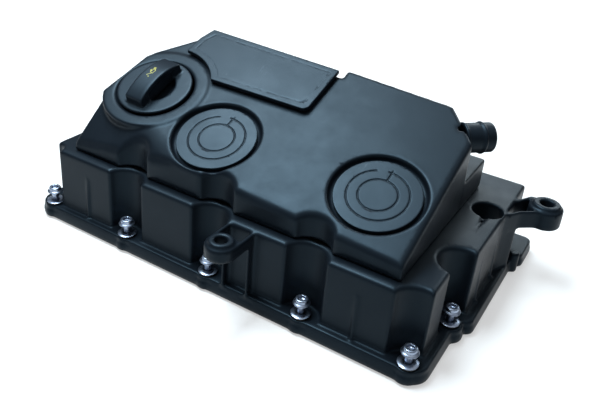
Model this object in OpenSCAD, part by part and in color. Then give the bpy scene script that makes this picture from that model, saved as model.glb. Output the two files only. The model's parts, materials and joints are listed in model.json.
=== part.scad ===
// Moulded cylinder-head cover of a four-cylinder diesel engine, with built-in crankcase ventilation.
// Working frame: x along the front screw row, y across the engine, z up from the sealing plane.
// The finished part is shifted so that its origin is the bottom centre of its box.

/* [Cylinders and screws] */
// Distance between neighbouring front screws, one cylinder spacing
bolt_pitch = 88; // [70:1:106]
// Distance between the front and rear screw rows
row_gap = 212; // [190:1:260]
// Diameter of the screw shank
screw_d = 6; // [5:0.5:7]
// Diameter of the screw head's flange
head_d = 13.6; // [12:0.1:15]
// Height of the screw head above its flange
head_h = 3.4; // [2.6:0.1:6]
// Diameter of the domed washer
washer_d = 16; // [15:0.1:18]
// How far the captive screws stand raised
screw_travel = 8; // [5:0.5:10]

/* [Flange] */
// Height of the flange's underside above the sealing plane
gasket_proud = 1; // [0.5:0.1:2]
// Thickness of the flange
flange_t = 12; // [10:0.5:16]
// Overhang of the flange beyond the front and rear screw rows
flange_over = 8.8; // [8:0.1:14]
// Radius of the flange's lobe around each screw
lobe_r = 10.2; // [9.5:0.1:12]
// Width of the step along the flange's upper half
flange_step = 1.2; // [0.6:0.1:2]

/* [Lower body] */
// Wall thickness of the mouldings
wall_t = 3; // [2:0.1:4]
// Height of the ledge above the sealing plane
ledge_h = 69.5; // [60:0.5:90]
// Radius of the recesses around the screws
scallop_r = 17.5; // [16:0.1:20]
// How far outside the screw row the centre of a front or rear recess stands
scallop_out = 4.3; // [0:0.1:6]
// Radius of the rounded edge around the ledge
ledge_round = 3; // [1:0.1:3.5]
// Radius of the recess around the front left screw
corner_scallop_r = 10; // [9:0.1:12]
// Width of the foot that carries the gasket groove
foot_w = 7.5; // [6.5:0.1:9]
// Width of the gasket groove
groove_w = 4; // [3:0.1:5]
// Depth of the gasket groove
groove_d = 4; // [3:0.1:5]

/* [Upper housing] */
// Pitch of the deck, rising to the rear
deck_pitch = 22.6; // [15:0.1:25]
// Roll of the deck, falling to the right
deck_roll = 3.6; // [0:0.1:5]
// Height of the deck's front edge above the ledge
deck_rise = 24.3; // [20:0.1:36]
// Gap between the body's front face and the housing's front wall
ledge_w = 9; // [6:0.1:12]
// Radius of the recesses in the housing's front wall
housing_scallop_r = 17.6; // [17:0.1:21]
// Radius of the rounded edge around the deck
deck_round = 3.5; // [1:0.1:4]
// Radius of the blend between the deck and the sloping front left facet
facet_round = 45; // [20:1:60]

/* [Valve wells] */
// Radius of a well's opening in the deck
well_r = 37.2; // [34:0.1:38]
// Radius of a valve cover
valve_cap_r = 33.9; // [31:0.1:35]
// Depth of a valve cover's top below the deck
valve_cap_sunk = 2.4; // [1:0.1:4]
// Travel of a valve plate
valve_travel = 3; // [2:0.1:4]

/* [Filler] */
// Radius of the filler boss
boss_r = 47.4; // [44:0.1:50]
// Radius of the filler cap's flange
cap_r = 33.6; // [30:0.1:36]
// Inner radius of the filler neck
neck_r = 22; // [18:0.1:24]
// Length of the cap's grip
grip_l = 54; // [40:1:60]
// Width of the cap's grip
grip_w = 18.5; // [14:0.5:22]
// Height of the grip above the cap's flange
grip_h = 14; // [10:0.5:18]

/* [Separator lid] */
// Thickness of the separator lid
lid_t = 4; // [3:0.1:6]
// Gap under the lid's rim
lid_gap = 1.2; // [0.6:0.1:2]

/* [Breather outlet] */
// Outer radius of the outlet pipe
outlet_r = 12.3; // [10:0.1:14]
// Length of the outlet pipe beyond the housing
outlet_l = 26; // [20:1:40]

/* [Brackets] */
// Outer radius of the front bracket's boss
front_boss_r = 12.6; // [11:0.1:15]
// Radius of the hole in the front bracket
front_hole_r = 5; // [4:0.1:6]
// Outer radius of the right bracket's boss
right_boss_r = 14.6; // [13:0.1:16]
// Radius of the hole in the right bracket
right_hole_r = 5.8; // [4:0.1:7]
// Height of the raised ring on a bracket
ring_h = 3.2; // [1:0.1:4]
// Reach of the front bracket in front of the front screw row
front_reach = 26.6; // [24:0.1:36]
// Reach of the right bracket beyond the rear shelf's edge
right_reach = 24; // [20:0.1:36]

/* [Fits] */
// Gap between pieces that only sit near each other
gap = 0.3; // [0.2:0.05:0.5]
// Radial clearance between a screw and its sleeve
screw_gap = 0.3; // [0.2:0.05:0.5]

/* [Hidden] */
$fn = 96;

plastic = [0.10, 0.11, 0.12];
rubber = [0.05, 0.05, 0.05];
steel = [0.72, 0.73, 0.75];
zinc = [0.80, 0.81, 0.83];
far = 1000;
eps = 0.01;
round_n = 4;

// Plan of the lower body
row_l = 4 * bolt_pitch;
front_y = -1;
body_x0 = -3;
front_x1 = row_l + 6;
shelf_x1 = row_l + 15;
rear_y = row_gap + 0.5;
side_y = 61;
flange_x0 = -17;
flange_x1 = shelf_x1;
flange_bulge_x1 = row_l + 25;
flange_y0 = -flange_over;
flange_y1 = row_gap + flange_over;
flange_top = gasket_proud + flange_t;
flange_mid = gasket_proud + flange_t / 2;
corner_r = 16;
bulge_r = 8;
bulge_y0 = side_y + 6;
side_lobe_r = 12;
lower_deep = 60;

// Screw places, left to right
front_xs = [for (i = [0:4]) i * bolt_pitch];
rear_xs = [for (i = [0:3]) (i + 0.5) * bolt_pitch];
right_screw = [row_l + 8.4, side_y];
left_screw = [-7, row_gap / 2];
front_screws = [for (x = front_xs) [x, 0]];
rear_screws = [for (x = rear_xs) [x, row_gap]];
screws = concat(front_screws, [right_screw, left_screw], rear_screws);
recesses = concat([for (i = [1:4]) front_screws[i] - [0, scallop_out]],
                  [for (p = rear_screws) p + [0, scallop_out]], [right_screw, left_screw]);

// Screw, sleeve, grommet and washer
screw_r = screw_d / 2;
sleeve_ri = screw_r + screw_gap;
sleeve_ro = sleeve_ri + 1.2;
grommet_ri = sleeve_ro;
grommet_ro = grommet_ri + 2;
grommet_lip_r = washer_d / 2 - 0.6;
grommet_lip_t = 1.4;
washer_t = 1.2;
washer_top = flange_top + grommet_lip_t + washer_t;
screw_tip = gasket_proud;
head_flange_t = 1.4;
head_base = washer_top + screw_travel;
head_r = head_d / 2;
head_core_r = head_r - 1.6;
washer_slope_w = 2.5;
socket_r = 2.6;
socket_d = 2.6;

// Upper housing in plan
housing_x0 = 20;
housing_x1 = row_l - 18;
housing_y0 = front_y + ledge_w;
housing_y1 = row_gap - 56;
housing_y1_left = housing_y1 - 10;
step_x = 206;
cut = 29;
housing_plan = [[housing_x0, housing_y0], [housing_x1, housing_y0], [housing_x1, housing_y1 - cut],
                [housing_x1 - cut, housing_y1], [step_x, housing_y1], [step_x, housing_y1_left],
                [70, housing_y1_left], [53.5, housing_y1_left - 20], [31, housing_y1_left - 46]];
rear_step_x = housing_x1 - 34;
rear_step_y = housing_y1 + 26;
rear_step_h = 27;

// Deck frame: origin on the deck's front edge above the middle screw
deck_x = 2 * bolt_pitch;
deck_y = housing_y0 + 0.9;
deck_z = ledge_h + deck_rise;
facet_pitch = 45;
facet_roll = -8.4;
facet_at = [housing_x0, housing_y0, ledge_h + deck_rise - 16];
blend_n = 6;
deck_up = normal(deck_pitch, deck_roll);
facet_up = normal(facet_pitch, facet_roll);
// A point on the crease, then the axis of the cylinder that touches both planes
crease_x = housing_x0 + 30;
crease_gap = [for (y = [0, 1])
    plane_z(facet_up, facet_at, crease_x, y) - plane_z(deck_up, [deck_x, deck_y, deck_z], crease_x, y)];
crease_y = crease_gap[0] / (crease_gap[0] - crease_gap[1]);
crease_at = [crease_x, crease_y, plane_z(facet_up, facet_at, crease_x, crease_y)];
blend_axis = crease_at - facet_round * (deck_up + facet_up) / (1 + deck_up * facet_up);
well_1 = [-29.8, 38.4];
well_2 = [113.4, 47.9];
wells = [well_1, well_2];
filler = [-112.5, 59.7];

// Valve well, heights along the deck normal
cap_top = -valve_cap_sunk;
cap_t = 3;
cap_under = cap_top - cap_t;
shelf_w = 2.5;
cut_above = 20;
chamber_r = 27;
diaphragm_r = chamber_r + 4;
diaphragm_t = 1;
chamber_depth = 15.5;
chamber_floor = cap_under - chamber_depth;
floor_t = 2.5;
seat_ro = 7.5;
seat_ri = 5.5;
plate_r = 13;
plate_t = 2;
plate_top = cap_under - diaphragm_t;
plate_under = plate_top - plate_t;
seat_top = plate_under - valve_travel - gap;
hub_r = 4;
hub_h = 2.2;
spring_r = 10;
spring_wire_r = 0.7;
spring_turns = 4;
cap_relief_r = 12;
cap_relief_d = 1.6;
cap_groove_w = 1;
cap_groove_d = 0.8;
cap_ring_1 = valve_cap_r * 0.43;
cap_ring_2 = valve_cap_r * 0.69;
ring_gap_from = 97;
ring_gap_to = 118;
slit_over = 3;

// Filler neck and cap, heights along the deck normal
boss_top = 1;
boss_h = 34;
cap_seat_r = cap_r + 1.3;
cap_seat_depth = 3;
seat_w = boss_top - cap_seat_depth;
seal_t = 1.7;
seal_gap = 0.1;
cap_flange_base = seat_w + seal_t + seal_gap;
cap_flange_t = 2.8;
cap_flange_top = cap_flange_base + cap_flange_t;
neck_t = 3;
neck_l = 24;
plug_gap = 1.4;
plug_r = neck_r - plug_gap;
plug_l = 15;
plug_wall = 2.5;
lug_r = neck_r - gap;
lug_h = 4;
lug_w = 12;
seal_ri = neck_r + 1.2;
seal_ro = seal_ri + 3.6;
grip_arch_r = 60;

// Separator lid outline in the deck frame
lid_right = 23.6;
lid_back = 148.5;
lid_left = -114.3;
lid_front_l = -74;
lid_front = 87.5;
lid_front_r = 93.2;
lid_cut_y = 129;
lid_cut = [4.5, 3];
lid_corner_r = 6;
lid_arc_r = boss_r + 2.4;
lid_spacer = 2.2;
lid_groove_in = 5.5;
lid_groove_w = 0.7;
lid_groove_d = 0.6;

// Outlet
outlet_at = [housing_x1 - cut / 2, housing_y1 - cut / 2];
outlet_z = ledge_h + 57;
outlet_wall = 2.2;
outlet_bead_r = outlet_r + 1.2;
outlet_bead_at = 14;
outlet_ramp_l = 2.5;
outlet_foot_r = outlet_r + 0.8;
outlet_foot_t = 2;

// Brackets
arm_t = 3;
front_arm_h = 11;
right_arm_h = 17;
front_boss = [2 * bolt_pitch + 31, -front_reach];
front_boss_top = ledge_h + 2;
front_ring_r = front_boss_r - 2.8;
right_boss = [shelf_x1 + right_reach, row_gap - 24];
right_boss_top = ledge_h + 1.5;
right_ring_r = right_boss_r - 2.8;
right_arm_front = [[shelf_x1 - 2, right_boss[1] - 39.5], [shelf_x1 + 8, right_boss[1] - 23],
                   [right_boss[0] - 2, right_boss[1] - right_boss_r + arm_t]];
right_arm_rear = [[shelf_x1 - 2, right_boss[1] - 12], [shelf_x1 + 9, right_boss[1] + 9],
                  [right_boss[0] - 2, right_boss[1] + right_boss_r - arm_t]];
prop_out = 7.5;
prop_t = 2.4;
port = [row_l + 0.5, row_gap - 66.5];
port_r = 12.5;
port_tube_l = 18;
port_wall = 2;
valley_r = 3.6;
valley_lift = 1;
valley_end_r = 0.4;
valley_y0 = side_y + 25;
valley_x = port[0] + 1;
seam_w = 0.6;
seam_d = 0.4;
seam = [[housing_x1 + 4, row_gap - 43.5], [shelf_x1 - 1, row_gap - 11]];
ear_x1 = shelf_x1 + 17;
ear_y0 = row_gap - 29;
ear_y1 = row_gap + 12;
peg_r = 5;
peg_h = 7;
rib_t = 2;
rib_out = 2.6;
rib_foot_h = 4;
rib_end_out = 0.6;
rib_stop = 18;

// Baffle and separator
foot_top = gasket_proud + groove_d + 4;
opening_in = wall_t + 6;
baffle_t = 2.4;
baffle_z = ledge_h - wall_t - baffle_t;
baffle_in = 3;
baffle_screw_r = 2;
baffle_head_r = 3.6;
baffle_head_h = 2;
baffle_screws = [[bolt_pitch / 2, housing_y0 + 6], [3.5 * bolt_pitch, housing_y0 + 6],
                 [1.5 * bolt_pitch, housing_y1_left - 6], [step_x + 44, housing_y1 - 6]];
tight_gap = 0.05;
gasket_gap = 0.2;
drain = [120, 60];
drain_r = 6;
drain_stem_r = 1.9;
drain_t = 1.2;
core_x0 = 215;
core_step = 25;
core_y0 = housing_y0 + 40;
core_l = 80;
core_t = 2;
core_h = 12;

// Box of the whole part, for the origin
box_x0 = flange_x0;
box_x1 = right_boss[0] + right_boss_r;
box_y0 = front_boss[1] - front_boss_r;
box_y1 = ear_y1;
origin = [-(box_x0 + box_x1) / 2, -(box_y0 + box_y1) / 2, 0];

// ---- helpers ----

module place() {
    translate(origin) children();
}

module deck_frame() {
    translate([deck_x, deck_y, deck_z]) rotate([deck_pitch, deck_roll, 0]) children();
}

module at_deck(p, w) {
    deck_frame() translate([p[0], p[1], w]) children();
}

module rect(x0, y0, x1, y1) {
    translate([x0, y0]) square([x1 - x0, y1 - y0]);
}

module rounded_rect(x0, y0, x1, y1, r) {
    rect(x0 + r, y0, x1 - r, y1);
    rect(x0, y0 + r, x1, y1 - r);
    for (x = [x0 + r, x1 - r], y = [y0 + r, y1 - r]) translate([x, y]) circle(r);
}

module slab(z0, z1) {
    translate([0, 0, z0]) linear_extrude(z1 - z0) children();
}

// Straight bar in plan from p to q
module bar(p, q, w) {
    d = q - p;
    translate(p) rotate(atan2(d[1], d[0])) translate([0, -w / 2]) square([norm(d), w]);
}

// Strip of width w along a line through three points, mitred at its bend
module strip(p, w) {
    d = unit(p[1] - p[0]);
    e = unit(p[2] - p[1]);
    a = left_of(d) * w / 2;
    b = left_of(e) * w / 2;
    polygon([p[0] - a, meet(p[1] - a, d, p[1] - b, e), p[2] - b,
             p[2] + b, meet(p[1] + a, d, p[1] + b, e), p[0] + a]);
}

module tube(ro, ri, h) {
    difference() {
        cylinder(r = ro, h = h);
        translate([0, 0, -eps]) cylinder(r = ri, h = h + 2 * eps);
    }
}

// Where two lines meet, each given by a point and a direction
function meet(p, d, q, e) = p + d * ((q - p)[0] * e[1] - (q - p)[1] * e[0]) / (d[0] * e[1] - d[1] * e[0]);
function unit(v) = v / norm(v);
function left_of(d) = [-d[1], d[0]];

// Inset and drop of each step of an edge that is rounded with radius r
function round_steps(r) = [for (i = [0:round_n - 1])
    let (turn = 90 * (i + 0.5) / round_n)
    [r * (1 - cos(turn)), r * (1 - sin(turn))]];

// Height of a plane with normal n through p, above x and y
function plane_z(n, p, x, y) = p[2] - (n[0] * (x - p[0]) + n[1] * (y - p[1])) / n[2];

// Upward normal of a plane that is pitched and rolled
function normal(pitch, roll) = [cos(pitch) * sin(roll), -sin(pitch), cos(pitch) * cos(roll)];

// A counter-clockwise outline moved inwards by t
function inset(p, t) = [
    for (i = [0:len(p) - 1])
        let (a = p[(i + len(p) - 1) % len(p)], b = p[i], c = p[(i + 1) % len(p)])
        let (d = unit(b - a), e = unit(c - b))
        meet(b + left_of(d) * t, d, b + left_of(e) * t, e)
];

// ---- plans ----

module body_plan(t) {
    difference() {
        union() {
            rect(body_x0 + t, front_y + t, front_x1 - t, side_y + t);
            rect(body_x0 + t, side_y, shelf_x1 - t, rear_y - t);
        }
        translate(front_screws[0]) circle(corner_scallop_r + t);
        for (p = recesses) translate(p) circle(scallop_r + t);
    }
}

module flange_plan(t) {
    rounded_rect(flange_x0 + t, flange_y0 + t, flange_x1 - t, flange_y1 - t, corner_r - t);
    rounded_rect(flange_x1 - lower_deep, bulge_y0 + t, flange_bulge_x1 - t, flange_y1 - t, bulge_r - t);
    rounded_rect(flange_x1 - 2 * bulge_r, ear_y0 + t, ear_x1 - t, ear_y1 - t, bulge_r - t);
    for (p = concat(front_screws, rear_screws)) translate(p) circle(lobe_r - t);
    translate(right_screw) circle(side_lobe_r - t);
}

module housing_plan_2d(t) {
    difference() {
        polygon(inset(housing_plan, t));
        for (i = [1:3]) translate(front_screws[i]) circle(housing_scallop_r + t);
    }
}

module lid_plan(t) {
    difference() {
        union() {
            polygon([[lid_front_l + t, lid_front + t], [lid_right - lid_corner_r - t, lid_front_r + t],
                     [lid_right - t, lid_front_r + lid_corner_r + t], [lid_right - t, lid_back - t],
                     [lid_left + lid_cut[0] + t, lid_back - lid_cut[1] - t],
                     [lid_left + t, lid_cut_y], [lid_left + t, lid_front + t]]);
            translate([lid_right - lid_corner_r - t, lid_front_r + lid_corner_r + t]) circle(lid_corner_r);
        }
        translate(filler) circle(lid_arc_r + t);
    }
}

// ---- lower moulding ----

module bracket_boss(top, ring, boss, r, h) {
    translate([boss[0], boss[1], top - ring_h - h]) cylinder(r = r, h = h);
    translate([boss[0], boss[1], top - ring_h - eps]) cylinder(r = ring, h = ring_h + eps);
}

module front_bracket() {
    top = front_boss_top - ring_h;
    slab(top - front_arm_h, top)
        for (s = [-1, 1]) {
            x = front_boss[0] + s * (front_boss_r - arm_t / 2);
            rect(x - arm_t / 2, front_boss[1], x + arm_t / 2, front_y + 2 * arm_t);
        }
    bracket_boss(front_boss_top, front_ring_r, front_boss, front_boss_r, front_arm_h);
    // Upright props between the flange and the bracket
    slab(flange_top - 1, top - front_arm_h + eps)
        for (s = [-1, 1]) {
            x = front_boss[0] + s * (front_boss_r - prop_t / 2) - prop_t / 2;
            rect(x, front_y - prop_out, x + prop_t, front_y + 1);
        }
}

module right_bracket() {
    top = right_boss_top - ring_h;
    slab(top - right_arm_h, top)
        for (arm = [right_arm_front, right_arm_rear]) strip(arm, arm_t);
    bracket_boss(right_boss_top, right_ring_r, right_boss, right_boss_r, right_arm_h);
    // Web from the front arm down to the flange
    slab(flange_top - 1, top - right_arm_h + eps) bar(right_arm_front[0], right_arm_front[1], prop_t);
}

module wall_rib(p, turn) {
    // Upright rib that fades out towards the ledge
    translate([p[0], p[1], 0]) rotate([90, 0, turn]) linear_extrude(rib_t, center = true)
        polygon([[-1, flange_top - 1], [rib_out, flange_top - 1], [rib_out, flange_top + rib_foot_h],
                 [rib_end_out, ledge_h - rib_stop], [-1, ledge_h - rib_stop]]);
}

module rounded_body() {
    // Walls up to the ledge, whose outer edge is rounded in steps
    slab(gasket_proud, ledge_h - ledge_round) body_plan(0);
    for (step = round_steps(ledge_round))
        slab(ledge_h - ledge_round - eps, ledge_h - step[1]) body_plan(step[0]);
}

module cover_body() {
    color(plastic) place() difference() {
        union() {
            slab(gasket_proud, flange_mid) flange_plan(0);
            slab(flange_mid, flange_top) flange_plan(flange_step);
            rounded_body();
            front_bracket();
            right_bracket();
            translate([port[0], port[1], ledge_h - port_tube_l])
                cylinder(r = port_r + port_wall, h = port_tube_l);
            for (i = [0, 3]) wall_rib([front_xs[i] + bolt_pitch / 2, front_y], -90);
            for (y = [row_gap - 114, row_gap - 74]) wall_rib([shelf_x1, y], 0);
            translate([shelf_x1 + 10, ear_y0 - peg_r, gasket_proud])
                cylinder(r = peg_r, h = flange_t + peg_h);
        }
        difference() {
            slab(foot_top, ledge_h - wall_t) body_plan(wall_t);
            translate([port[0], port[1], ledge_h - port_tube_l]) cylinder(r = port_r + port_wall, h = far);
        }
        slab(-eps, foot_top + eps) body_plan(foot_w);
        slab(-eps, gasket_proud + groove_d) gasket_ring(0);
        slab(ledge_h - wall_t - eps, ledge_h + eps) housing_opening();
        for (p = screws) translate([p[0], p[1], -eps]) cylinder(r = grommet_ro, h = flange_top + 1);
        translate([front_boss[0], front_boss[1], ledge_h / 2]) cylinder(r = front_hole_r, h = ledge_h);
        translate([right_boss[0], right_boss[1], ledge_h / 2]) cylinder(r = right_hole_r, h = ledge_h);
        translate([port[0], port[1], ledge_h - port_tube_l - 1]) cylinder(r = port_r, h = port_tube_l + 2);
        for (p = baffle_screws)
            translate([p[0], p[1], ledge_h - wall_t - eps])
                cylinder(r = baffle_screw_r + tight_gap, h = wall_t);
        port_valley();
        slab(ledge_h - seam_d, ledge_h + 1) bar(seam[0], seam[1], seam_w);
    }
}

module port_valley() {
    // Round valley in the shelf that narrows from the port towards the right screw's recess
    translate([valley_x, valley_y0, ledge_h + valley_lift])
        rotate([-90, 0, 0]) cylinder(r1 = valley_end_r, r2 = valley_r, h = port[1] - valley_y0);
}

module housing_opening() {
    polygon(inset(housing_plan, opening_in));
}

module gasket_ring(t) {
    g = (foot_w - groove_w) / 2;
    difference() {
        body_plan(g + t);
        body_plan(g + groove_w - t);
    }
}

// ---- upper moulding ----

module above_deck(w) {
    deck_frame() translate([-far / 2, -far / 2, w]) cube([far, far, far / 2]);
}

module above_facet(w) {
    translate(facet_at) rotate([facet_pitch, facet_roll, 0])
        translate([-far / 2, -far / 2, w]) cube([far, far, far / 2]);
}

module above_blend(w) {
    // Planes that touch the cylinder which blends the deck into the facet
    for (i = [1:blend_n - 1]) {
        n = unit(deck_up * (1 - i / blend_n) + facet_up * i / blend_n);
        translate(blend_axis + (facet_round + w) * n)
            rotate([-asin(n[1]), atan2(n[0], n[2]), 0])
                translate([-far / 2, -far / 2, 0]) cube([far, far, far / 2]);
    }
}

module housing_form(t, z0) {
    // Solid form of the housing, inset by t on every side but the bottom
    difference() {
        slab(z0, 3 * ledge_h) housing_plan_2d(t);
        above_deck(-t);
        above_facet(-t);
        above_blend(-t);
    }
}

module rounded_housing() {
    // The same form with its upper edges rounded in steps
    difference() {
        for (step = concat([[0, deck_round]], round_steps(deck_round)))
            difference() {
                slab(ledge_h, 3 * ledge_h) housing_plan_2d(step[0]);
                above_deck(-step[1]);
                above_facet(-step[1]);
            }
        above_blend(0);
    }
}

module boss_form(t, top) {
    intersection() {
        slab(ledge_h, 3 * ledge_h) housing_plan_2d(t);
        at_deck(filler, top - boss_h) cylinder(r = boss_r - t, h = boss_h);
    }
}

module well_form() {
    for (p = wells) {
        at_deck(p, cap_under - shelf_w) cylinder(r = well_r + wall_t, h = -cap_under + shelf_w);
        at_deck(p, chamber_floor - floor_t) cylinder(r = chamber_r + wall_t, h = chamber_depth + floor_t);
    }
}

module well_cut() {
    for (p = wells) {
        at_deck(p, cap_under) cylinder(r = well_r, h = cut_above);
        at_deck(p, cap_under - diaphragm_t) cylinder(r = diaphragm_r + gap, h = diaphragm_t + 1);
        difference() {
            at_deck(p, chamber_floor) cylinder(r = chamber_r, h = chamber_depth + 0.5);
            at_deck(p, chamber_floor - 1) cylinder(r = seat_ro, h = seat_top - chamber_floor + 1);
        }
        at_deck(p, chamber_floor - floor_t - 1) cylinder(r = seat_ri, h = chamber_depth + floor_t + 1);
    }
}

module rear_step() {
    // Block behind the chamfered corner, under the outlet
    slab(ledge_h, ledge_h + rear_step_h) rect(rear_step_x, housing_y1 - cut, housing_x1, rear_step_y);
}

module upper_housing() {
    color(plastic) place() difference() {
        union() {
            rounded_housing();
            boss_form(0, boss_top);
            rear_step();
        }
        difference() {
            union() {
                housing_form(wall_t, ledge_h - 1);
                boss_form(wall_t, boss_top - cap_seat_depth - wall_t);
            }
            well_form();
            at_deck(filler, seat_w - neck_l) cylinder(r = neck_r + neck_t, h = neck_l);
        }
        well_cut();
        at_deck(filler, seat_w) cylinder(r = cap_seat_r, h = cut_above);
        at_deck(filler, seat_w - neck_l - 1) cylinder(r = neck_r, h = neck_l + 2);
        outlet_frame(-wall_t * 2) cylinder(r = outlet_r - outlet_wall, h = wall_t * 3);
    }
}

// ---- deck pieces ----

module separator_lid() {
    color(plastic) place() deck_frame() difference() {
        union() {
            slab(0, lid_gap + eps) lid_plan(lid_spacer);
            slab(lid_gap, lid_gap + lid_t) lid_plan(0);
        }
        slab(lid_gap + lid_t - lid_groove_d, lid_gap + lid_t + 1) difference() {
            lid_plan(lid_groove_in);
            lid_plan(lid_groove_in + lid_groove_w);
        }
    }
}

module oil_cap() {
    color(plastic) place() at_deck(filler, 0) difference() {
        union() {
            translate([0, 0, cap_flange_base]) cylinder(r = cap_r, h = cap_flange_t);
            translate([0, 0, cap_flange_base - plug_l]) cylinder(r = plug_r, h = plug_l + eps);
            for (turn = [0, 180])
                rotate([0, 0, turn]) translate([0, 0, cap_flange_base - plug_l]) cap_lug();
            intersection() {
                translate([-grip_w / 2, -grip_l / 2, cap_flange_top - eps]) cube([grip_w, grip_l, grip_h]);
                translate([-grip_w, 0, cap_flange_top + grip_h - grip_arch_r])
                    rotate([0, 90, 0]) cylinder(r = grip_arch_r, h = 2 * grip_w);
            }
        }
        translate([0, 0, cap_flange_base - plug_l - 1]) cylinder(r = plug_r - plug_wall, h = plug_l);
    }
}

module cap_lug() {
    intersection() {
        difference() {
            cylinder(r = lug_r, h = lug_h);
            translate([0, 0, -1]) cylinder(r = plug_r - 1, h = lug_h + 2);
        }
        translate([0, -lug_w / 2, 0]) cube([far, lug_w, lug_h]);
    }
}

module oil_cap_seal() {
    color(rubber) place() at_deck(filler, seat_w) tube(seal_ro, seal_ri, seal_t);
}

module valve_cap(p) {
    color(plastic) place() at_deck(p, 0) difference() {
        translate([0, 0, cap_under]) cylinder(r = valve_cap_r, h = cap_t);
        translate([0, 0, cap_under - 1]) cylinder(r = cap_relief_r, h = cap_relief_d + 1);
        translate([0, 0, cap_top - cap_groove_d]) {
            tube(cap_ring_1 + cap_groove_w, cap_ring_1, cap_t);
            difference() {
                tube(cap_ring_2 + cap_groove_w, cap_ring_2, cap_t);
                intersection() {
                    rotate([0, 0, ring_gap_from]) cube([far, far, cap_t]);
                    rotate([0, 0, ring_gap_to - 90]) cube([far, far, cap_t]);
                }
            }
            translate([-cap_groove_w / 2, cap_ring_1, 0])
                cube([cap_groove_w, cap_ring_2 - cap_ring_1 + slit_over, cap_t]);
        }
    }
}

module diaphragm(p) {
    color(rubber) place() at_deck(p, cap_under - diaphragm_t)
        tube(diaphragm_r, hub_r + gap / 2, diaphragm_t);
}

module valve_plate(p) {
    color(plastic) place() at_deck(p, 0) {
        translate([0, 0, plate_under]) cylinder(r = plate_r, h = plate_t);
        translate([0, 0, plate_top - eps]) cylinder(r = hub_r, h = hub_h);
    }
}

module valve_spring(p) {
    // Stack of rings that stands for the coil
    free = plate_under - chamber_floor - 2 * spring_wire_r;
    color(steel) place() at_deck(p, chamber_floor + spring_wire_r)
        for (i = [0:spring_turns])
            translate([0, 0, i * free / spring_turns])
                rotate_extrude() translate([spring_r, 0]) circle(spring_wire_r, $fn = 24);
}

module outlet_frame(along) {
    // z runs out of the chamfered corner, along its horizontal normal
    translate([outlet_at[0], outlet_at[1], outlet_z])
        rotate([0, 90, 45]) translate([0, 0, along]) children();
}

module breather_outlet() {
    color(plastic) place() difference() {
        union() {
            outlet_frame(0) cylinder(r = outlet_r, h = outlet_l);
            outlet_frame(0) cylinder(r = outlet_foot_r, h = outlet_foot_t);
            outlet_frame(outlet_bead_at) cylinder(r1 = outlet_r, r2 = outlet_bead_r, h = outlet_ramp_l);
            outlet_frame(outlet_bead_at + outlet_ramp_l) cylinder(r = outlet_bead_r, h = 1);
        }
        outlet_frame(-1) cylinder(r = outlet_r - outlet_wall, h = outlet_l + 2);
        above_deck(-gap);
    }
}

// ---- inner pieces ----

module separator_core() {
    // Comb of plates that the oil mist winds around
    color(plastic) place() translate([core_x0, core_y0, ledge_h - wall_t]) {
        cube([2 * core_step + core_t, core_l, core_t]);
        for (i = [0:2]) translate([i * core_step, 0, 0]) cube([core_t, core_l, core_h]);
    }
}

module baffle_plate() {
    color(plastic) place() slab(baffle_z, baffle_z + baffle_t) difference() {
        intersection() {
            polygon(inset(housing_plan, baffle_in));
            body_plan(wall_t + gap);
        }
        for (p = baffle_screws) translate(p) circle(baffle_screw_r + tight_gap);
        translate(drain) circle(drain_stem_r);
    }
}

module baffle_screw(i) {
    p = baffle_screws[i];
    color(zinc) place() translate([p[0], p[1], 0]) {
        translate([0, 0, baffle_z - baffle_head_h]) cylinder(r = baffle_head_r, h = baffle_head_h);
        translate([0, 0, baffle_z - eps]) cylinder(r = baffle_screw_r, h = baffle_t + wall_t - 2 * eps);
    }
}

module drain_valve() {
    color(rubber) place() translate([drain[0], drain[1], 0]) {
        translate([0, 0, baffle_z - drain_t]) cylinder(r = drain_r, h = drain_t);
        translate([0, 0, baffle_z - eps]) cylinder(r = drain_stem_r, h = baffle_t + drain_t);
        translate([0, 0, baffle_z + baffle_t]) cylinder(r = drain_r / 2, h = drain_t);
    }
}

module gasket() {
    color(rubber) place() slab(0, gasket_proud + groove_d - gasket_gap) gasket_ring(gasket_gap);
}

// ---- screw sets ----

module grommets() {
    color(rubber) place() for (p = screws) translate([p[0], p[1], gasket_proud]) {
        tube(grommet_ro - tight_gap, grommet_ri, flange_t);
        translate([0, 0, flange_t]) tube(grommet_lip_r, grommet_ri, grommet_lip_t);
    }
}

module sleeves() {
    color(steel) place() for (p = screws)
        translate([p[0], p[1], gasket_proud]) tube(sleeve_ro - eps, sleeve_ri, flange_t + grommet_lip_t);
}

module washers() {
    color(zinc) place() for (p = screws)
        translate([p[0], p[1], flange_top + grommet_lip_t]) difference() {
            cylinder(r1 = washer_d / 2, r2 = washer_d / 2 - washer_slope_w, h = washer_t);
            translate([0, 0, -eps]) cylinder(r = sleeve_ri, h = washer_t + 2 * eps);
        }
}

module captive_screw(p) {
    color(zinc) place() translate([p[0], p[1], 0]) difference() {
        union() {
            translate([0, 0, screw_tip]) cylinder(r = screw_r, h = head_base - screw_tip + eps);
            translate([0, 0, head_base]) cylinder(r = head_r, h = head_flange_t);
            translate([0, 0, head_base]) cylinder(r = head_core_r, h = head_flange_t + head_h);
        }
        translate([0, 0, head_base + head_flange_t + head_h - socket_d])
            cylinder(r = socket_r, h = socket_d + 1, $fn = 6);
    }
}

// ---- drawing ----

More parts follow.
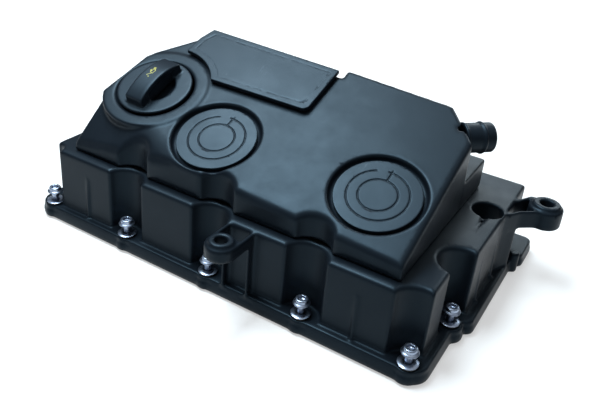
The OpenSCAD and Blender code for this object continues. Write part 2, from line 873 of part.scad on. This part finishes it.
cover_body();
upper_housing();
separator_lid();
oil_cap();
oil_cap_seal();
valve_cap(well_1);  // valve_cap_1
valve_cap(well_2);  // valve_cap_2
diaphragm(well_1);  // diaphragm_1
diaphragm(well_2);  // diaphragm_2
valve_plate(well_1);  // valve_plate_1
valve_plate(well_2);  // valve_plate_2
valve_spring(well_1);  // valve_spring_1
valve_spring(well_2);  // valve_spring_2
breather_outlet();
separator_core();
baffle_plate();
baffle_screw(0);  // baffle_screw_1
baffle_screw(1);  // baffle_screw_2
baffle_screw(2);  // baffle_screw_3
baffle_screw(3);  // baffle_screw_4
drain_valve();
gasket();
grommets();
sleeves();
washers();
captive_screw(front_screws[0]);  // screw_front_1
captive_screw(front_screws[1]);  // screw_front_2
captive_screw(front_screws[2]);  // screw_front_3
captive_screw(front_screws[3]);  // screw_front_4
captive_screw(front_screws[4]);  // screw_front_5
captive_screw(right_screw);  // screw_right
captive_screw(left_screw);  // screw_left
captive_screw(rear_screws[0]);  // screw_rear_1
captive_screw(rear_screws[1]);  // screw_rear_2
captive_screw(rear_screws[2]);  // screw_rear_3
captive_screw(rear_screws[3]);  // screw_rear_4
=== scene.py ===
"""Looks of the cylinder-head cover: rounded mouldings, detailed screws, materials, light and camera."""
import json
import math

import bmesh
import bpy
import numpy as np
import openvdb as vdb
from mathutils import Matrix, Vector


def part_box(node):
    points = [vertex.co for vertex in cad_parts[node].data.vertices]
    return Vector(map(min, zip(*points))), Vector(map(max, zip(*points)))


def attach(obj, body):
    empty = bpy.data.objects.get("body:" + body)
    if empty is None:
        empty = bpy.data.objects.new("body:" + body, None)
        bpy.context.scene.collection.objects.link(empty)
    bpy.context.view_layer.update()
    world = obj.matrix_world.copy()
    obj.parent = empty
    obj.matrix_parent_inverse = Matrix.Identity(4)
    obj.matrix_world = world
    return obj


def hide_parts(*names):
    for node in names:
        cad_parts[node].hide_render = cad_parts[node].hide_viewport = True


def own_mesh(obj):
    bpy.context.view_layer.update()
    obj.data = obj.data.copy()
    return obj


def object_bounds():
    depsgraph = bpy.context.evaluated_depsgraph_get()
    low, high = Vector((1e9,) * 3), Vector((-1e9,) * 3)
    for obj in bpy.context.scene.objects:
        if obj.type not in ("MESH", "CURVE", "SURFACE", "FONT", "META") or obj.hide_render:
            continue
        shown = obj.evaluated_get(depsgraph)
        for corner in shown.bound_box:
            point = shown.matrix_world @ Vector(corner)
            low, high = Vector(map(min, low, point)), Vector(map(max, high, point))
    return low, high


MM = 0.001

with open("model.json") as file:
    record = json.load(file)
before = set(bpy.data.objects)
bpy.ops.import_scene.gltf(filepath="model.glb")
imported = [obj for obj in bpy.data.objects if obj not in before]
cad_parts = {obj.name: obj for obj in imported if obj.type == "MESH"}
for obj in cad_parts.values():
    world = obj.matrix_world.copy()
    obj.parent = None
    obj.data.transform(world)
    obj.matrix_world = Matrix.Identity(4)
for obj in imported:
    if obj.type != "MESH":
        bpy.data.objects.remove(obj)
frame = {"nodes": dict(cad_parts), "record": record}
NODES = frame["nodes"]
RECORD = frame["record"]
CAD_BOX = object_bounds()

SCREWS = [n for n in sorted(NODES) if n.startswith("screw_")]


# ---------------------------------------------------------------- materials

def node_tree(name):
    mat = bpy.data.materials.new(name)
    mat.use_nodes = True
    nt = mat.node_tree
    return mat, nt, nt.nodes["Principled BSDF"]


def noise(nt, scale, detail=3.0, rough=0.55, stretch=(1, 1, 1)):
    coord = nt.nodes.new("ShaderNodeTexCoord")
    mapping = nt.nodes.new("ShaderNodeMapping")
    mapping.inputs["Scale"].default_value = stretch
    tex = nt.nodes.new("ShaderNodeTexNoise")
    tex.inputs["Scale"].default_value = scale
    tex.inputs["Detail"].default_value = detail
    tex.inputs["Roughness"].default_value = rough
    nt.links.new(coord.outputs["Object"], mapping.inputs["Vector"])
    nt.links.new(mapping.outputs["Vector"], tex.inputs["Vector"])
    return tex.outputs["Fac"]


def ramp(nt, fac, stops):
    node = nt.nodes.new("ShaderNodeValToRGB")
    el = node.color_ramp.elements
    el[0].position, el[0].color = stops[0][0], (*stops[0][1], 1)
    el[1].position, el[1].color = stops[-1][0], (*stops[-1][1], 1)
    for pos, col in stops[1:-1]:
        e = el.new(pos)
        e.color = (*col, 1)
    nt.links.new(fac, node.inputs["Fac"])
    return node.outputs["Color"]


def span(nt, fac, lo, hi, a, b):
    node = nt.nodes.new("ShaderNodeMapRange")
    node.inputs["From Min"].default_value = lo
    node.inputs["From Max"].default_value = hi
    node.inputs["To Min"].default_value = a
    node.inputs["To Max"].default_value = b
    nt.links.new(fac, node.inputs["Value"])
    return node.outputs["Result"]


def bump(nt, bsdf, layers):
    """Chain of bump nodes, one for each (height, strength, distance)."""
    last = None
    for height, strength, distance in layers:
        node = nt.nodes.new("ShaderNodeBump")
        node.inputs["Strength"].default_value = strength
        node.inputs["Distance"].default_value = distance
        nt.links.new(height, node.inputs["Height"])
        if last is not None:
            nt.links.new(last, node.inputs["Normal"])
        last = node.outputs["Normal"]
    nt.links.new(last, bsdf.inputs["Normal"])


def plastic(name, dark, light, rough_lo, rough_hi, specular, grain=0.25, scuffs=0.0):
    """Moulded plastic: mottled tone, roughness patches, fine grain, slight sink marks, faint scuffs."""
    mat, nt, b = node_tree(name)
    colour = ramp(nt, noise(nt, 14, 4), [(0.3, dark), (0.7, light)])
    rough = span(nt, noise(nt, 38, 5, 0.65), 0.3, 0.7, rough_lo, rough_hi)
    if scuffs:
        lines = span(nt, noise(nt, 9, 6, 0.7, (14, 3, 14)), 0.60, 0.72, 0.0, 1.0)
        where = span(nt, noise(nt, 11, 2), 0.52, 0.66, 0.0, scuffs)
        both = nt.nodes.new("ShaderNodeMath")
        both.operation = "MULTIPLY"
        nt.links.new(lines, both.inputs[0])
        nt.links.new(where, both.inputs[1])
        mix = nt.nodes.new("ShaderNodeMix")
        mix.data_type = "RGBA"
        mix.inputs["B"].default_value = (0.10, 0.12, 0.14, 1)
        nt.links.new(both.outputs[0], mix.inputs["Factor"])
        nt.links.new(colour, mix.inputs["A"])
        colour = mix.outputs["Result"]
    nt.links.new(colour, b.inputs["Base Color"])
    nt.links.new(rough, b.inputs["Roughness"])
    b.inputs["Specular IOR Level"].default_value = specular
    b.inputs["Specular Tint"].default_value = (0.50, 0.78, 1.0, 1)
    bump(nt, b, [(noise(nt, 2600, 2, 0.6), grain, 0.00006), (noise(nt, 45, 2), 0.12, 0.0004)])
    return mat


def metal(name, dark, light, rough_lo, rough_hi, stretch=(1, 1, 1)):
    mat, nt, b = node_tree(name)
    b.inputs["Metallic"].default_value = 1.0
    cloud = noise(nt, 260, 4, 0.6, stretch)
    nt.links.new(ramp(nt, cloud, [(0.35, dark), (0.65, light)]), b.inputs["Base Color"])
    nt.links.new(span(nt, noise(nt, 420, 4), 0.3, 0.7, rough_lo, rough_hi), b.inputs["Roughness"])
    bump(nt, b, [(noise(nt, 1500, 3, 0.6, stretch), 0.15, 0.00008)])
    return mat


def rubber(name):
    mat, nt, b = node_tree(name)
    nt.links.new(ramp(nt, noise(nt, 60, 4), [(0.3, (0.008, 0.008, 0.009)), (0.7, (0.02, 0.021, 0.023))]),
                 b.inputs["Base Color"])
    nt.links.new(span(nt, noise(nt, 120, 3), 0.3, 0.7, 0.6, 0.8), b.inputs["Roughness"])
    bump(nt, b, [(noise(nt, 900, 3), 0.3, 0.0001)])
    return mat


def paint(name):
    mat, nt, b = node_tree(name)
    nt.links.new(ramp(nt, noise(nt, 900, 3), [(0.3, (0.26, 0.24, 0.02)), (0.7, (0.42, 0.38, 0.04))]),
                 b.inputs["Base Color"])
    nt.links.new(span(nt, noise(nt, 500, 3), 0.3, 0.7, 0.45, 0.6), b.inputs["Roughness"])
    bump(nt, b, [(noise(nt, 1200, 2), 0.2, 0.00005)])
    return mat


COVER = plastic("moulded_black", (0.0030, 0.0045, 0.0068), (0.005, 0.0072, 0.0105), 0.36, 0.46, 0.15)
DECK = plastic("deck_black", (0.0035, 0.0055, 0.0082), (0.006, 0.0085, 0.0125), 0.35, 0.44, 0.17, 0.2, 0.6)
INNER = plastic("inner_black", (0.012, 0.013, 0.015), (0.02, 0.021, 0.023), 0.5, 0.6, 0.4)
RUBBER = rubber("black_rubber")
STEEL = metal("turned_steel", (0.42, 0.43, 0.45), (0.6, 0.61, 0.63), 0.25, 0.4, (1, 1, 6))
ZINC = metal("zinc_plate", (0.20, 0.24, 0.32), (0.34, 0.39, 0.48), 0.26, 0.40)
YELLOW = paint("yellow_marking")
SLOT_MATERIAL = {"moulded_plastic": COVER, "deck_plastic": DECK, "inner_plastic": INNER, "rubber": RUBBER,
                 "steel": STEEL, "zinc": ZINC}


def dress(obj, mat):
    obj.data.materials.clear()
    obj.data.materials.append(mat)


for entry in RECORD["subparts"]:
    dress(NODES[entry["node"]], SLOT_MATERIAL[entry["material_slot"]])


# ---------------------------------------------------------------- mesh helpers

def new_object(name, verts, faces, mat, smooth=True):
    mesh = bpy.data.meshes.new(name)
    mesh.from_pydata([tuple(v) for v in verts], [], [tuple(f) for f in faces])
    mesh.update()
    obj = bpy.data.objects.new(name, mesh)
    bpy.context.scene.collection.objects.link(obj)
    dress(obj, mat)
    mesh.polygons.foreach_set("use_smooth", [smooth] * len(mesh.polygons))
    return obj


def node_polygons(node):
    mesh = NODES[node].data
    mesh.calc_loop_triangles()
    pts = np.empty(len(mesh.vertices) * 3, np.float32)
    mesh.vertices.foreach_get("co", pts)
    tri = np.empty(len(mesh.loop_triangles) * 3, np.uint32)
    mesh.loop_triangles.foreach_get("vertices", tri)
    return pts.reshape(-1, 3), tri.reshape(-1, 3)


def blur(a, sigma):
    """Separable Gaussian blur of a dense array, sigma in voxels."""
    reach = int(math.ceil(2.5 * sigma))
    k = np.exp(-0.5 * (np.arange(-reach, reach + 1) / sigma) ** 2)
    k = (k / k.sum()).astype(np.float32)
    for axis in range(3):
        pad = [(0, 0)] * 3
        pad[axis] = (reach, reach)
        p = np.pad(a, pad, mode="edge")
        out = np.zeros_like(a)
        for i, w in enumerate(k):
            sl = [slice(None)] * 3
            sl[axis] = slice(i, i + a.shape[axis])
            out += w * p[tuple(sl)]
        a = out
    return a


def slopes_at(dense, points):
    """Unit gradients of a dense distance field at points given in voxels, for the shading normals."""
    g = np.stack(np.gradient(dense), -1)
    at = np.clip(points, 0, np.array(dense.shape) - 1.001)
    cell = np.floor(at).astype(int)
    f = at - cell
    slopes = np.zeros((len(points), 3), np.float32)
    for corner in np.ndindex(2, 2, 2):
        share = np.prod(np.where(corner, f, 1 - f), axis=1)
        slopes += share[:, None] * g[tuple((cell + corner).T)]
    return slopes / np.maximum(np.linalg.norm(slopes, axis=1, keepdims=True), 1e-9)


GRID_MARGIN = 6
BAND = 4.0


def soften(node, voxel, radius, adaptivity=0.02, carve=None):
    """Rounds a CAD node's edges by blurring its distance field, and replaces the node with the result."""
    pts, tri = node_polygons(node)
    low = pts.min(0) - GRID_MARGIN * voxel
    size = np.ceil((pts.max(0) + GRID_MARGIN * voxel - low) / voxel).astype(int) + 1
    local = ((pts - low) / voxel).astype(np.float32)
    grid = vdb.FloatGrid.createLevelSetFromPolygons(local, triangles=tri, halfWidth=BAND)
    dense = np.empty(tuple(size), np.float32)
    grid.copyToArray(dense)
    if carve is not None:
        axes = [low[i] + voxel * np.arange(size[i], dtype=np.float32) for i in range(3)]
        dense = carve(dense, voxel, axes)
    dense = blur(dense, radius / voxel)
    out = vdb.FloatGrid(BAND)
    out.copyFromArray(np.clip(dense, -BAND, BAND), tolerance=0.0)
    p, t, q = out.convertToPolygons(isovalue=0.0, adaptivity=adaptivity)
    faces = [tuple(f) for f in q] + [tuple(f) for f in t]
    obj = new_object(node + "_moulded", p * voxel + low, faces, NODES[node].data.materials[0])
    obj.data.normals_split_custom_set_from_vertices(slopes_at(dense, p).tolist())
    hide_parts(node)
    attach(obj, body_of_node(node))
    return obj


def body_of_node(node):
    for body, nodes in RECORD["behaviour"]["bodies"].items():
        if node in nodes:
            return body
    raise KeyError(node)


# ---------------------------------------------------------------- camera first

def aim_camera():
    cam = bpy.data.objects.new("camera", bpy.data.cameras.new("camera"))
    bpy.context.scene.collection.objects.link(cam)
    right = Vector((0.8478, 0.5249, 0.0754)).normalized()
    ahead = Vector((-0.4400, 0.7757, -0.4525)).normalized()
    up = right.cross(ahead).normalized()
    right = ahead.cross(up).normalized()
    rot = Matrix((right, up, -ahead)).transposed().to_4x4()
    cam.matrix_world = Matrix.Translation((0.2593, -0.4638, 0.3583)) @ rot
    cam.data.sensor_width = 36
    cam.data.lens = 41.81
    cam.data.shift_x = 0.0173
    cam.data.shift_y = -0.0752
    cam.data.clip_start = 0.01
    cam.data.dof.use_dof = False
    bpy.context.scene.camera = cam


aim_camera()


# ---------------------------------------------------------------- mouldings

# The deck's own frame: u to the right, v up the slope, w along its normal
PITCH = math.radians(22.6)
ROLL = math.radians(3.6)
DECK_U = Vector((math.cos(ROLL), 0, -math.sin(ROLL)))
DECK_V = Vector((math.sin(PITCH) * math.sin(ROLL), math.cos(PITCH), math.sin(PITCH) * math.cos(ROLL)))
DECK_W = DECK_U.cross(DECK_V)
FILLER = Vector(next(j["pos_m"] for j in RECORD["behaviour"]["joints"] if j["name"] == "cap_turn"))
CAP_TOP = 2.6 * MM
GRIP_TOP = CAP_TOP + 14 * MM
GRIP_ARCH = 60 * MM
GRIP_HALF = 18.5 / 2 * MM
GRIP_WAIST = GRIP_HALF - 1.6 * MM
GRIP_RIM = 4.5 * MM
BOWL_R = 18.2 * MM
BOWL_FLARE = 0.12
BOWL_DEPTH = 6.3 * MM
FLOOR_HALF = 1.2 * MM


def dish_cap(dense, voxel, axes):
    """Hollows the cap on both sides of its grip, down to a floor inside the plug."""
    x, y, z = np.meshgrid(*axes, indexing="ij")
    at = (x - FILLER.x, y - FILLER.y, z - FILLER.z)
    u, v, w = (sum(a * c for a, c in zip(at, axis)) for axis in (DECK_U, DECK_V, DECK_W))
    r = np.hypot(u, v)
    floor_mid = CAP_TOP - BOWL_DEPTH - FLOOR_HALF
    floor = np.maximum(r - BOWL_R - MM, np.abs(w - floor_mid) - FLOOR_HALF)
    bowl = np.maximum(r - BOWL_R - BOWL_FLARE * (w - CAP_TOP), CAP_TOP - BOWL_DEPTH - w)
    bowl = np.maximum(bowl, GRIP_WAIST - np.abs(u))
    under_grip = np.maximum(bowl, w - GRIP_TOP + GRIP_RIM + v * v / (2 * GRIP_ARCH))
    free = np.maximum(bowl, GRIP_HALF + 0.3 * MM - np.abs(u))
    dense = np.minimum(dense, floor / voxel)
    return np.maximum(dense, -np.minimum(under_grip, free) / voxel)


soften("cover_body", 1.0 * MM, 0.95 * MM, 0.06)
soften("upper_housing", 1.0 * MM, 1.3 * MM, 0.03)
soften("separator_lid", 0.45 * MM, 0.35 * MM)
soften("valve_cap_1", 0.4 * MM, 0.22 * MM)
soften("valve_cap_2", 0.4 * MM, 0.22 * MM)
soften("oil_cap", 0.5 * MM, 0.8 * MM, carve=dish_cap)
soften("breather_outlet", 0.4 * MM, 0.5 * MM)


# ---------------------------------------------------------------- marking on the grip

STROKE_HALF = 0.24
SIGN_AT = (-1.2, 1.5)


def oil_can():
    """Generic oil-can pictogram as flat strokes that follow the grip's arch."""
    body = [(-0.6, -1.8), (4.2, -1.8), (5.2, 1.0), (0.2, 1.0), (-0.6, -1.8)]
    spout = [(-0.4, -0.9), (-3.9, 1.7), (-4.6, 1.2)]
    handle = [(5.2, 1.0), (6.8, 1.9), (7.2, 0.4), (5.0, -0.4)]
    knob = [(2.4, 1.0), (2.4, 2.2)]
    knob_top = [(1.4, 2.2), (3.4, 2.2)]
    drop = [(-5.0, -0.2), (-5.4, -1.2), (-4.7, -1.2), (-5.0, -0.2)]
    verts, faces = [], []
    for stroke in (body, spout, handle, knob, knob_top, drop):
        for a, b in zip(stroke, stroke[1:]):
            steps = max(1, int(math.dist(a, b)))
            d = Vector((b[0] - a[0], b[1] - a[1])).normalized() * STROKE_HALF
            for k in range(steps + 1):
                q = (a[0] + (b[0] - a[0]) * k / steps, a[1] + (b[1] - a[1]) * k / steps)
                for side in (-1, 1):
                    v = (q[0] - d[1] * side + SIGN_AT[1]) * MM
                    u = -(q[1] + d[0] * side - SIGN_AT[0]) * MM
                    w = GRIP_TOP - GRIP_ARCH + math.sqrt(GRIP_ARCH ** 2 - v * v) + 0.01 * MM
                    verts.append(FILLER + DECK_U * u + DECK_V * v + DECK_W * w)
                if k:
                    n = len(verts)
                    faces.append((n - 4, n - 3, n - 1, n - 2))
    obj = new_object("oil_marking", verts, faces, YELLOW)
    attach(obj, "cap")


oil_can()


# ---------------------------------------------------------------- valve springs

DECK_ORIGIN = FILLER + DECK_U * 112.5 * MM - DECK_V * 59.7 * MM
SPRING_FLOOR = -20.9 * MM
SPRING_L = 12.5 * MM


def coil(number, well):
    """Coil between the chamber floor and a valve plate, built at a fixed length."""
    wire, radius, turns, around, sides = 0.7 * MM, 10 * MM, 5, 40, 8
    foot = DECK_ORIGIN + DECK_U * well[0] * MM + DECK_V * well[1] * MM + DECK_W * SPRING_FLOOR
    count = turns * around
    verts, faces = [], []
    for i in range(count + 1):
        a = 2 * math.pi * i / around
        rise = min(max((i / around - 0.75) / (turns - 1.5), 0), 1)
        out = DECK_U * math.cos(a) + DECK_V * math.sin(a)
        mid = foot + out * radius + DECK_W * (wire * 1.02 + rise * (SPRING_L - 2.04 * wire))
        for k in range(sides):
            b = 2 * math.pi * k / sides
            verts.append(mid + out * wire * math.cos(b) + DECK_W * wire * math.sin(b))
        if i:
            n = len(verts) - 2 * sides
            for k in range(sides):
                after = (k + 1) % sides
                faces.append((n + k, n + after, n + sides + after, n + sides + k))
    obj = new_object("valve_coil_%d" % number, verts, faces, STEEL)
    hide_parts("valve_spring_%d" % number)
    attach(obj, "cover")
    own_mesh(obj)


coil(1, (-29.8, 38.4))
coil(2, (113.4, 47.9))


# ---------------------------------------------------------------- screws and washers

TURN = 48
HEAD_H = 4.8 * MM
SHARP = math.radians(38)


def turned(name, outlines, mat):
    """Surfaces of revolution about vertical axes; a ring is (radius, height, lobes, depth of the lobes)."""
    verts, faces = [], []
    for centre, rings in outlines:
        base = len(verts)
        for ring in rings:
            r, z, lobes, deep = (*ring, 0, 0)[:4]
            for k in range(TURN):
                a = 2 * math.pi * k / TURN
                rr = (r + deep * math.cos(lobes * a)) * MM
                verts.append((centre[0] + rr * math.cos(a), centre[1] + rr * math.sin(a), centre[2] + z * MM))
        for i in range(len(rings) - 1):
            for k in range(TURN):
                a, b = base + i * TURN + k, base + i * TURN + (k + 1) % TURN
                faces.append((a, b, b + TURN, a + TURN))
    obj = new_object(name, verts, faces, mat)
    bm = bmesh.new()
    bm.from_mesh(obj.data)
    for edge in bm.edges:
        if len(edge.link_faces) == 2 and edge.calc_face_angle() > SHARP:
            edge.smooth = False
    bm.to_mesh(obj.data)
    bm.free()
    return obj


def screw_rings(length):
    """From the tip up to the head, then down into the six-lobed socket; heights from the head's underside."""
    rings = [(0.01, -length), (2.3, -length), (2.9, -length + 0.6)]
    z = -length + 0.8
    while z < -9.2:
        rings += [(2.95, z), (2.62, z + 0.5)]
        z += 1.0
    rings += [(2.95, -8.4), (2.95, 0.04), (6.3, 0.04), (6.75, 0.25), (6.8, 0.7), (6.5, 1.15), (5.5, 1.55),
              (5.15, 1.9), (5.1, 4.0), (4.85, 4.5), (4.4, 4.76), (3.45, 4.79), (2.95, 4.6, 6, 0.28),
              (2.85, 2.6, 6, 0.28), (2.2, 2.3, 6, 0.1), (0.01, 2.15)]
    return rings


WASHER_RINGS = [(3.35, 0.02), (7.7, 0.0), (7.97, 0.12), (7.95, 0.3), (7.6, 0.52), (6.2, 0.96), (5.2, 1.12),
                (4.0, 1.14), (3.6, 1.06), (3.38, 0.9), (3.35, 0.02)]

washers = []
for node in SCREWS:
    low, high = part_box(node)
    base = high[2] - HEAD_H
    mid = ((low[0] + high[0]) / 2, (low[1] + high[1]) / 2, base)
    screw = turned(node + "_turned", [(mid, screw_rings((base - low[2]) / MM))], ZINC)
    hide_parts(node)
    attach(screw, node + "_body")
    washers.append((mid[0], mid[1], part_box("washers")[0][2]))
domed = turned("washers_domed", [(w, WASHER_RINGS) for w in washers], ZINC)
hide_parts("washers")
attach(domed, "cover")


# ---------------------------------------------------------------- stage

def area_light(name, place, target, size, size_y, energy, colour):
    data = bpy.data.lights.new(name, "AREA")
    data.shape = "RECTANGLE"
    data.size = size
    data.size_y = size_y
    data.energy = energy
    data.color = colour
    obj = bpy.data.objects.new(name, data)
    bpy.context.scene.collection.objects.link(obj)
    obj.location = place
    obj.rotation_euler = (Vector(target) - Vector(place)).to_track_quat("-Z", "Y").to_euler()


FLOOR_REACH = 9


def studio():
    r = FLOOR_REACH
    verts = [(-r, -r, 0), (r, -r, 0), (r, r, 0), (-r, r, 0)]
    mat, nt, b = node_tree("studio_floor")
    b.inputs["Base Color"].default_value = (0.42, 0.42, 0.42, 1)
    b.inputs["Roughness"].default_value = 0.9
    b.inputs["Specular IOR Level"].default_value = 0.1
    b.inputs["Emission Color"].default_value = (1, 1, 1, 1)
    b.inputs["Emission Strength"].default_value = 0.45
    floor = new_object("studio_floor", verts, [(0, 1, 2, 3)], mat, False)
    floor.location.z = CAD_BOX[0][2] - 0.0002
    world = bpy.data.worlds.new("studio")
    bpy.context.scene.world = world
    world.use_nodes = True
    nt = world.node_tree
    coord = nt.nodes.new("ShaderNodeTexCoord")
    split = nt.nodes.new("ShaderNodeSeparateXYZ")
    nt.links.new(coord.outputs["Generated"], split.inputs["Vector"])
    sky = ramp(nt, split.outputs["Z"],
               [(0.45, (0.12, 0.13, 0.14)), (0.72, (0.5, 0.53, 0.56)), (1.0, (1.0, 1.0, 1.0))])
    nt.links.new(sky, nt.nodes["Background"].inputs["Color"])
    nt.nodes["Background"].inputs["Strength"].default_value = 1.0
    area_light("softbox_top", (-0.38, -0.02, 1.15), (0.0, 0.0, 0.1), 0.8, 0.5, 34, (0.80, 0.93, 1.0))
    area_light("softbox_back", (0.1, 1.6, 0.85), (0.1, 0.0, 0.08), 1.2, 0.5, 11, (0.84, 0.95, 1.0))


studio()
bpy.context.scene.view_settings.view_transform = "Standard"
